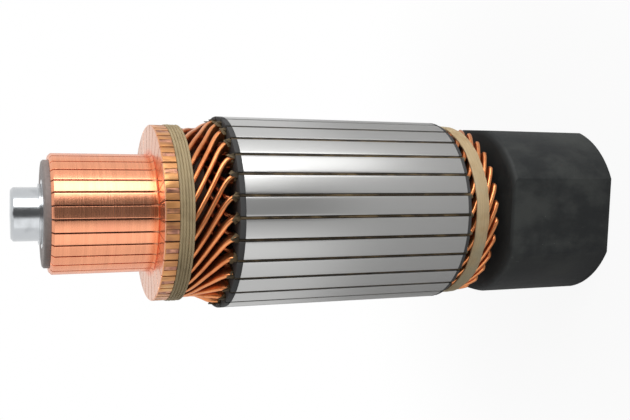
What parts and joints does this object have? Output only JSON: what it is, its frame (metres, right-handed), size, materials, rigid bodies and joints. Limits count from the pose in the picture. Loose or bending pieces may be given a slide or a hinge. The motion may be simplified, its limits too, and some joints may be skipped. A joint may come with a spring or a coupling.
{
  "type": "motor armature",
  "caption": "Starter motor armature with a slotted steel core, hairpin copper winding, copper commutator with risers, corded end turns and a black drive block with flats.",
  "frame": {"origin": "centre of the drive block's end face, which the armature stands on", "axes": "+Z along the shaft from the drive block to the commutator end journal; -Y looks at the first deep flat of the drive block, within 6 degrees"},
  "size_m": [0.08, 0.08, 0.2574],
  "materials": {
    "ground_steel": "ground",
    "black_oxide_steel": "black oxide, satin",
    "electrical_steel": "ground laminations, satin",
    "dark_fibre": "matte",
    "liner_paper": "matte, varnished",
    "brown_fibre": "matte",
    "commutator_copper": "polished copper",
    "mica": "matte",
    "moulding_resin": "satin",
    "plain_steel": "turned",
    "binding_cord": "varnished cord",
    "binding_tape": "varnished tape",
    "winding_copper": "lacquered copper strip"
  },
  "bodies": {
    "root": {"shaft": "ground_steel", "drive_block": "black_oxide_steel", "core_stack": "electrical_steel", "front_fibre_disc": "dark_fibre", "rear_fibre_disc": "dark_fibre", "slot_liners": "liner_paper", "slot_separators": "brown_fibre", "front_layer_sleeve": "brown_fibre", "rear_layer_sleeve": "brown_fibre", "shaft_insulator": "brown_fibre", "commutator_bars": "commutator_copper", "mica_separators": "mica", "commutator_moulding": "moulding_resin", "commutator_bush": "plain_steel", "thrust_collar": "plain_steel", "front_binding_cord": "binding_cord", "rear_binding_tape": "binding_tape", "hairpin_coil_01": "winding_copper", "hairpin_coil_02": "winding_copper", "hairpin_coil_03": "winding_copper", "hairpin_coil_04": "winding_copper", "hairpin_coil_05": "winding_copper", "hairpin_coil_06": "winding_copper", "hairpin_coil_07": "winding_copper", "hairpin_coil_08": "winding_copper", "hairpin_coil_09": "winding_copper", "hairpin_coil_10": "winding_copper", "hairpin_coil_11": "winding_copper", "hairpin_coil_12": "winding_copper", "hairpin_coil_13": "winding_copper", "hairpin_coil_14": "winding_copper", "hairpin_coil_15": "winding_copper", "hairpin_coil_16": "winding_copper", "hairpin_coil_17": "winding_copper", "hairpin_coil_18": "winding_copper", "hairpin_coil_19": "winding_copper", "hairpin_coil_20": "winding_copper", "hairpin_coil_21": "winding_copper", "hairpin_coil_22": "winding_copper", "hairpin_coil_23": "winding_copper", "hairpin_coil_24": "winding_copper", "hairpin_coil_25": "winding_copper", "hairpin_coil_26": "winding_copper", "hairpin_coil_27": "winding_copper", "hairpin_coil_28": "winding_copper", "hairpin_coil_29": "winding_copper"}
  },
  "joints": []
}
